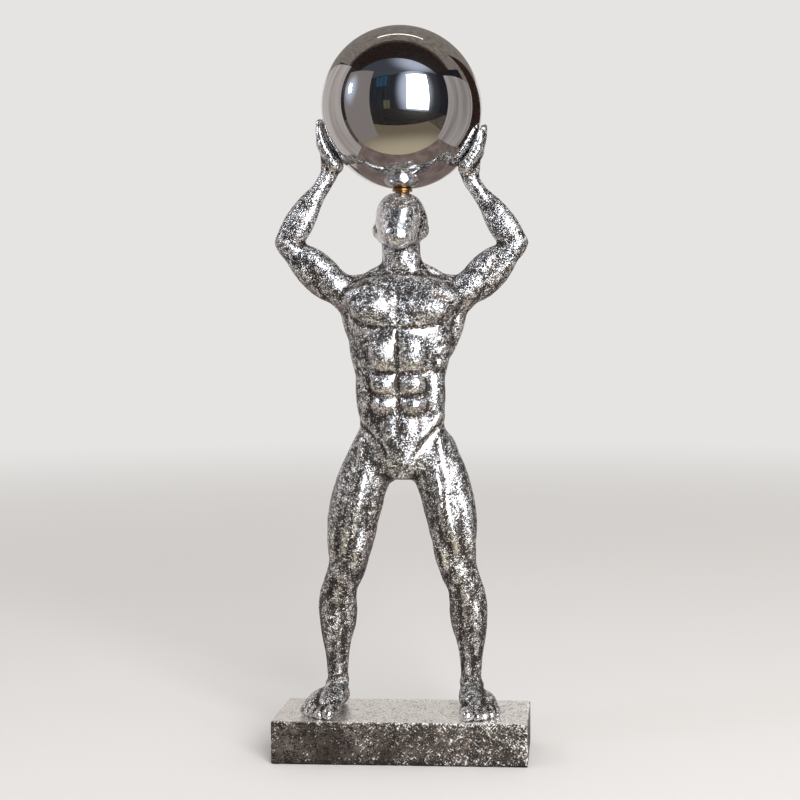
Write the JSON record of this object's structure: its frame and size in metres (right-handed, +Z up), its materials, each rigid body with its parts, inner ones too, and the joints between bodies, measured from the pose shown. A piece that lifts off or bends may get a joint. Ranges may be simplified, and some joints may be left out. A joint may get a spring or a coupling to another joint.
{
  "type": "strongman statue",
  "caption": "Muscular standing figure on a block plinth, arms raised, holding a mirror-polished ball on its brow and between its palms.",
  "frame": {"origin": "middle of the plinth's underside, on the surface that it stands on", "axes": "+Z up, -Y towards the figure's front, +X towards the figure's left hand"},
  "size_m": [0.1914, 0.12, 0.5482],
  "materials": {
    "leafed_plinth": "antiqued silver leaf over a cast resin block",
    "leafed_figure": "antiqued silver leaf over cast resin, dark and brown in the hollows",
    "turned_brass": "polished",
    "polished_steel": "mirror polished"
  },
  "bodies": {
    "root": {"plinth": "leafed_plinth", "figure": "leafed_figure", "collar": "turned_brass", "ball": "polished_steel"}
  },
  "joints": []
}
